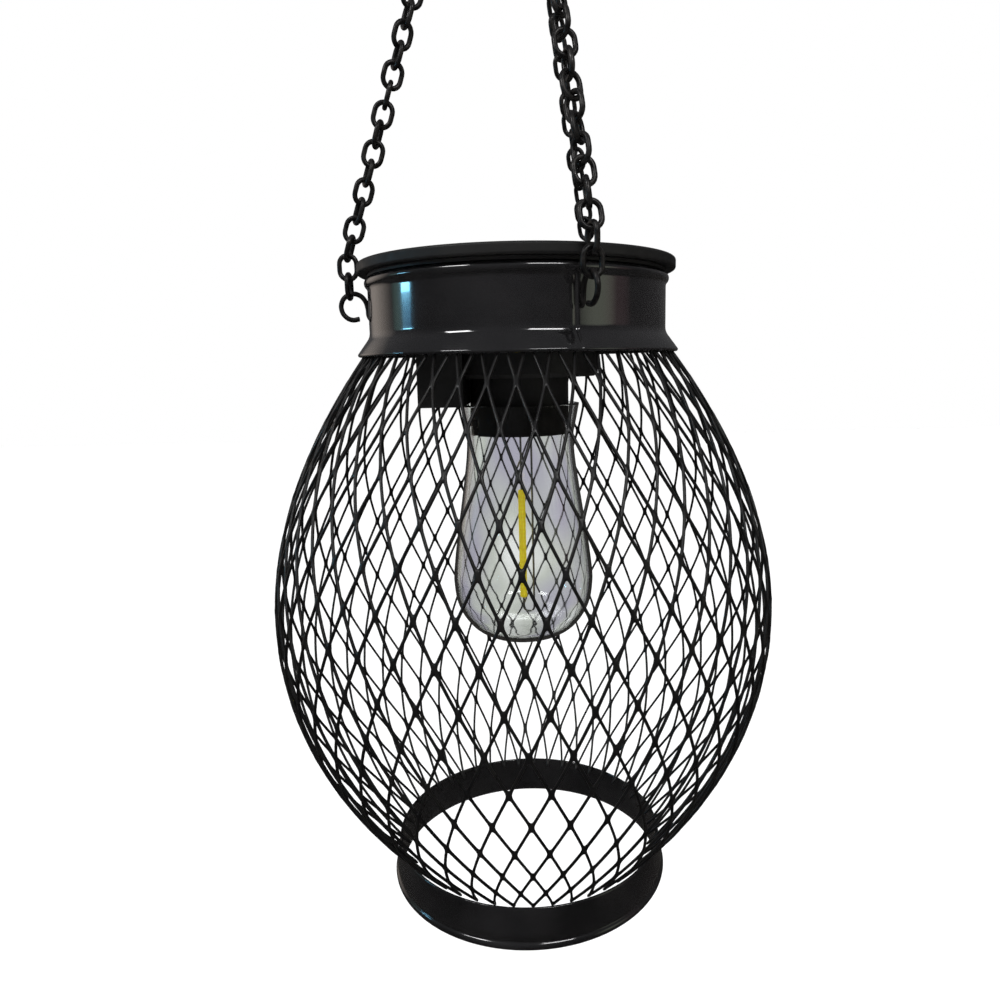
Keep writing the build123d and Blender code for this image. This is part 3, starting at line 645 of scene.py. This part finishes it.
def chain(side, azimuth):
    """One chain: links from the gather ring to the lid's edge, then two upright to the collar's hook."""
    out = outward(azimuth)
    tangent = Vector((-out.y, out.x, 0))
    up = Vector((0, 0, 1))
    pitch = (LINK_INNER - LINK_PLAY) * MM
    inner = LINK_INNER * MM
    eye_top = height(EYE_Z + EYE_RADIUS - CHAIN_WIRE / 2 - LINK_PLAY)
    lowest = out * CHAIN_RADIUS * MM + up * (eye_top + inner / 2)
    frames = [(lowest, out, up), (lowest + up * pitch, tangent, up)]
    corner = lowest + up * (pitch + inner / 2)
    on_ring = Vector((0, RING_SPREAD[side] * MM, height(RING_BOTTOM)))
    along = (corner - on_ring).normalized()
    start = on_ring - along * (RING_WIRE / 2 + LINK_PLAY) * MM
    slant_pitch = (corner - start).length / SLANTED_LINKS
    across = (Vector((0, 1, 0)) - along * along.y).normalized()
    cross = along.cross(across)
    twist = math.atan(tangent.dot(cross) / tangent.dot(across))
    loose = dict(zip(range(SLANTED_LINKS - 1, 0, -1), LINK_TURNS[side]))
    for index in range(SLANTED_LINKS):
        angle = twist * index / (SLANTED_LINKS - 1) + math.radians(90 * (index % 2) + loose.get(index, 0))
        normal = across * math.cos(angle) + cross * math.sin(angle)
        frames.append((start + along * slant_pitch * (index + 0.5), normal, -along))
    mesh = joined("links_" + side, oval_shape(LINK_INNER, LINK_WIDTH, CHAIN_WIRE), frames)
    piece = new_piece("chain_links_" + side, mesh, "lantern", "black_chain")
    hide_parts("chain_" + side)


# ------------------------------------------------------------------ lamp

BULB_WALL = 1.1
BULB_BOTTOM = 86.5
FILAMENT_LOW = 100.0
FILAMENT_HIGH = 138.0
FILAMENT_HALF = 1.25     # half width
FILAMENT_CORNER = 0.7    # radius of its long edges
CHIP_PITCH = 1.4         # spacing of the beads along it


def bulb():
    """Clear shell with a real wall, from the mouth sleeve down to the rounded tip."""
    neck = [(19.9, 167.2), (19.2, 163.5), (18.4, 159.5), (17.95, 157.0)]
    body = [
        (18.1, 152), (18.6, 147), (19.6, 140), (20.8, 132), (22.1, 124), (23.2, 116), (23.9, 109.5),
        (23.9, 106), (23.3, 101), (22.1, 97.4), (20.3, 94.2), (17.5, 90.9), (13.6, 88.4),
        (8.8, 86.9), (4, 86.55),
    ]
    outer = neck + body
    points = catmull(outer, 5)
    inner = inset(points, BULB_WALL)
    outline = to_metres(points + [(0.0, BULB_BOTTOM)])
    hollow = to_metres([(0.0, BULB_BOTTOM + BULB_WALL)] + list(reversed(inner)))
    mesh = turned("bulb_wall", outline + hollow, 128)
    piece = new_piece("clear_bulb", mesh, "bulb", "clear_plastic")
    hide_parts("bulb_shell")


def cubic(t, p, q, r, s):
    """Catmull-Rom value at a share t of the way from q to r, with p before and s after them."""
    square = 2 * p - 5 * q + 4 * r - s
    cube = 3 * q - p - 3 * r + s
    return 0.5 * (2 * q + (r - p) * t + square * t * t + cube * t ** 3)


def catmull(points, steps):
    """Smooth curve through points, as a list of points."""
    padded = [points[0]] + list(points) + [points[-1]]
    result = []
    for a, b, c, d in zip(padded, padded[1:], padded[2:], padded[3:]):
        for step in range(steps):
            t = step / steps
            result.append(tuple(cubic(t, *values) for values in zip(a, b, c, d)))
    result.append(points[-1])
    return result


def inset(points, wall):
    """The curve moved inward, towards the axis side, by a wall."""
    moved = []
    for index, (radius, z) in enumerate(points):
        before = points[max(index - 1, 0)]
        after = points[min(index + 1, len(points) - 1)]
        dr, dz = after[0] - before[0], after[1] - before[1]
        length = math.hypot(dr, dz)
        moved.append((radius + dz / length * wall, z - dr / length * wall))
    return moved


def filament():
    """Yellow strip with rounded edges and a cap at each end."""
    low, high = FILAMENT_LOW, FILAMENT_HIGH
    half, corner = FILAMENT_HALF, FILAMENT_CORNER
    ring_points = []
    for quarter in range(4):
        for step in range(4):
            a = math.radians(quarter * 90 + step * 30)
            cx = (half - corner) * (1 if quarter in (0, 3) else -1)
            cy = (half - corner) * (1 if quarter in (0, 1) else -1)
            ring_points.append((cx + corner * math.cos(a), cy + corner * math.sin(a)))
    levels = [(low, 0.6), (low + 0.3, 0.95)]
    levels += [(low + 0.8 + index * CHIP_PITCH, 1.0 - 0.05 * (index % 2)) for index in range(26)]
    levels += [(high - 0.3, 0.95), (high, 0.6)]
    count = len(ring_points)
    vertices = [Vector((x * s * MM, y * s * MM, height(z))) for z, s in levels for x, y in ring_points]
    faces = []
    for level in range(len(levels) - 1):
        for index in range(count):
            after = (index + 1) % count
            a, b = level * count, (level + 1) * count
            faces.append((a + index, a + after, b + after, b + index))
    faces.append(tuple(range(count)))
    faces.append(tuple(range((len(levels) - 1) * count, len(levels) * count)))
    mesh = mesh_from("filament_strip", vertices, faces)
    piece = new_piece("yellow_filament", mesh, "bulb", "phosphor")
    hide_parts("led_filament")


# ------------------------------------------------------------------ hook and ring

HOOK_WIRE = 3.0
HOOK_LOW = 402.05        # wire centre at the bottom of the hook's lower bend
HOOK_EYE = 6.0
HOOK_THROAT = 10.0
HOOK_FLAT = 3.0
HOOK_TIP = 7.0
HOOK_SPLAY = 0.9


def gather_ring():
    """Closed oval wire ring that gathers the chains, long axis along Y."""
    inner_length = RING_STRAIGHT + 2 * RING_RADIUS - RING_WIRE
    shape = oval_shape(inner_length, 2 * RING_RADIUS + RING_WIRE, RING_WIRE, 20)
    middle = Vector((0, 0, height(RING_BOTTOM + RING_RADIUS)))
    mesh = joined("gather_wire", shape, [(middle, Vector((1, 0, 0)), Vector((0, 1, 0)))])
    piece = new_piece("chain_gather_ring", mesh, "ring", "zinc_wire")
    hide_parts("gather_ring")


def hanging_hook():
    """S hook of round wire, its lower bend nearly closed and its upper bend open."""
    flat = HOOK_FLAT / 2
    low = HOOK_LOW + HOOK_EYE
    high = HOOK_LOW + 2 * HOOK_EYE + HOOK_THROAT
    reach = HOOK_EYE + flat
    line = [(-reach - HOOK_SPLAY, low + HOOK_TIP / 2)]
    line += [(x - flat, z) for x, z in arc((0, low), HOOK_EYE, 180, 270, 4)]
    line += [(x + flat, z) for x, z in arc((0, low), HOOK_EYE, 270, 360, 4)]
    line += arc((0, high), HOOK_THROAT, 180, 0, 8)
    line.append((HOOK_THROAT + HOOK_SPLAY, high - HOOK_TIP))
    points = [Vector((x * MM, 0, height(z))) for x, z in line]
    piece = wire("s_hook", points, HOOK_WIRE * MM, "hook", "zinc_wire")
    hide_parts("hanging_hook")


# ------------------------------------------------------------------ studio

CAMERA_RIGHT = 0.0029    # metres to the right of the axis
CAMERA_DISTANCE = 0.2629
CAMERA_HEIGHT = 180.3    # mm above the foot
CAMERA_PITCH = 0.173     # radians downward
CAMERA_ROLL = -0.021
CAMERA_LENS = 28.08
CAMERA_SHIFT = -0.0302
LIGHT_TARGET = 160.0     # mm above the foot, where the soft lights point
FLOOR = 6.0              # half width in metres
FLOOR_DROP = 400.0       # mm from the foot down to the floor
# Soft patches of the room that the gloss mirrors: azimuth, elevation, half angles where each is
# full and where it ends, in degrees, and its colour.
ROOM_PATCHES = (
    (-128, 6, 2, 24, (0.6, 0.52, 0.46)),
    (-97, 4, 2, 9, (0.25, 0.45, 0.4)),
    (62, 4, 3, 17, (0.78, 0.84, 0.66)),
    (80, 2, 2, 14, (0.22, 0.13, 0.14)),
    (-14, 8, 14, 50, (0.07, 0.07, 0.075)),
)
ROOM_BELOW = (0.03, 0.028, 0.026)
ROOM_ABOVE = (0.18, 0.18, 0.19)
# What the clear bulb shows of the surround: lavender, greenish grey and white.
SEEN_THROUGH = ((0.46, 0.44, 0.53), (0.6, 0.62, 0.57), (1.0, 1.0, 1.0))


def camera():
    """Camera a little below the lid, looking slightly down."""
    data = bpy.data.cameras.new("camera")
    data.sensor_width = 36
    data.lens = CAMERA_LENS
    data.shift_x = CAMERA_SHIFT
    data.clip_start = 0.01
    obj = bpy.data.objects.new("camera", data)
    scene.collection.objects.link(obj)
    obj.matrix_world = (Matrix.Translation((CAMERA_RIGHT, -CAMERA_DISTANCE, height(CAMERA_HEIGHT)))
                        @ Matrix.Rotation(math.pi / 2 - CAMERA_PITCH, 4, "X")
                        @ Matrix.Rotation(CAMERA_ROLL, 4, "Z"))
    scene.camera = obj


def soft_light(name, azimuth, elevation, distance, size, power, colour=(1, 1, 1)):
    """Rectangular area light facing the lantern's middle from a direction in degrees."""
    data = bpy.data.lights.new(name, "AREA")
    data.shape = "RECTANGLE"
    data.size, data.size_y = size
    data.energy = power
    data.color = colour
    obj = bpy.data.objects.new(name, data)
    scene.collection.objects.link(obj)
    lift = math.radians(elevation)
    away = outward(azimuth) * math.cos(lift) + Vector((0, 0, math.sin(lift)))
    obj.location = Vector((0, 0, height(LIGHT_TARGET))) + away * distance
    obj.rotation_mode = "QUATERNION"
    obj.rotation_quaternion = (-away).to_track_quat("-Z", "Y")


def surround():
    """White surround behind the lantern, and a dim room for the gloss to mirror."""
    world = bpy.data.worlds.new("studio")
    scene.world = world
    world.use_nodes = True
    tree = world.node_tree

    def node(kind, **values):
        made = tree.nodes.new(kind)
        for key, value in values.items():
            setattr(made, key, value)
        return made

    def ramp(value, low, high, stops):
        scaled = node("ShaderNodeMapRange")
        scaled.inputs["From Min"].default_value = low
        scaled.inputs["From Max"].default_value = high
        tree.links.new(value, scaled.inputs["Value"])
        made = node("ShaderNodeValToRGB")
        while len(made.color_ramp.elements) < len(stops):
            made.color_ramp.elements.new(0.5)
        for index, (element, colour) in enumerate(zip(made.color_ramp.elements, stops)):
            element.position = index / (len(stops) - 1)
            element.color = (*colour, 1)
        tree.links.new(scaled.outputs["Result"], made.inputs["Fac"])
        return made.outputs["Color"]

    def mix(kind, factor, first, second):
        made = node("ShaderNodeMix", data_type="RGBA", blend_type=kind)
        made.inputs["Factor"].default_value = 1.0
        if factor:
            tree.links.new(factor, made.inputs["Factor"])
        tree.links.new(first, made.inputs[6])
        if isinstance(second, tuple):
            made.inputs[7].default_value = (*second, 1)
        else:
            tree.links.new(second, made.inputs[7])
        return made.outputs[2]

    direction = node("ShaderNodeTexCoord").outputs["Generated"]
    split = node("ShaderNodeSeparateXYZ")
    tree.links.new(direction, split.inputs[0])
    room = ramp(split.outputs["Z"], -0.2, 0.9, (ROOM_BELOW, ROOM_ABOVE))
    for azimuth, elevation, full, end, colour in ROOM_PATCHES:
        lift = math.radians(elevation)
        toward = outward(azimuth) * math.cos(lift) + Vector((0, 0, math.sin(lift)))
        dot = node("ShaderNodeVectorMath", operation="DOT_PRODUCT")
        tree.links.new(direction, dot.inputs[0])
        dot.inputs[1].default_value = toward
        limits = math.cos(math.radians(end)), math.cos(math.radians(full))
        room = mix("ADD", None, room, ramp(dot.outputs["Value"], *limits, ((0, 0, 0), colour)))
    mottle = node("ShaderNodeTexNoise")
    mottle.inputs["Scale"].default_value = 5.0
    tree.links.new(direction, mottle.inputs["Vector"])
    through = ramp(mottle.outputs["Fac"], 0.35, 0.65, SEEN_THROUGH)
    path = node("ShaderNodeLightPath")
    bounced = node("ShaderNodeMath", operation="ADD", use_clamp=True)
    tree.links.new(path.outputs["Glossy Depth"], bounced.inputs[0])
    tree.links.new(path.outputs["Diffuse Depth"], bounced.inputs[1])
    straight = node("ShaderNodeMath", operation="SUBTRACT", use_clamp=True)
    tree.links.new(path.outputs["Is Transmission Ray"], straight.inputs[0])
    tree.links.new(bounced.outputs[0], straight.inputs[1])
    dim = mix("MIX", straight.outputs[0], room, through)
    seen = mix("MIX", path.outputs["Is Camera Ray"], dim, (1.0, 1.0, 1.0))
    background = tree.nodes["Background"]
    tree.links.new(seen, background.inputs["Color"])
    background.inputs["Strength"].default_value = 1.0


def studio():
    """Pale floor well below the lantern, soft lights and a plain surround."""
    soft_light("left_softbox", -50, 42, 0.9, (0.26, 0.12), 2.0)
    soft_light("front_softbox", 24, 42, 0.9, (0.34, 0.1), 2.0)
    soft_light("window_upper", -86, 9.4, 0.7, (0.11, 0.028), 0.3, (0.25, 0.7, 1.0))
    soft_light("window_lower", -86, 6.2, 0.7, (0.11, 0.047), 0.035, (0.15, 0.5, 0.9))
    sun = bpy.data.lights.new("overhead", "SUN")
    sun.energy = 3.4
    sun.angle = math.radians(70)
    overhead = bpy.data.objects.new("overhead", sun)
    scene.collection.objects.link(overhead)
    overhead.rotation_euler = (math.radians(-12), math.radians(-10), 0)
    overhead.visible_glossy = False
    surround()
    mesh = bpy.data.meshes.new("floor")
    corners = [(-FLOOR, -FLOOR, 0), (FLOOR, -FLOOR, 0), (FLOOR, FLOOR, 0), (-FLOOR, FLOOR, 0)]
    mesh.from_pydata(corners, [], [(0, 1, 2, 3)])
    floor = bpy.data.objects.new("floor", mesh)
    scene.collection.objects.link(floor)
    floor.location = (0, 0, height(-FLOOR_DROP))
    floor.visible_glossy = False
    floor.visible_transmission = False
    pale = Shader("pale_floor", (0.9, 0.9, 0.9), 0.9, Specular_IOR_Level=0.1)
    pale.colour(pale.noise(2), (0.9, 0.9, 0.9), (0.93, 0.93, 0.93))
    floor.data.materials.append(pale.material)


camera()
dress_cad_nodes()
mesh_cage()
collar()
foot_ring()
for side, azimuth in CHAIN_AZIMUTHS.items():
    collar_hook(side, azimuth)
    chain(side, azimuth)
gather_ring()
hanging_hook()
bulb()
filament()
studio()
scene.view_settings.view_transform = "Standard"
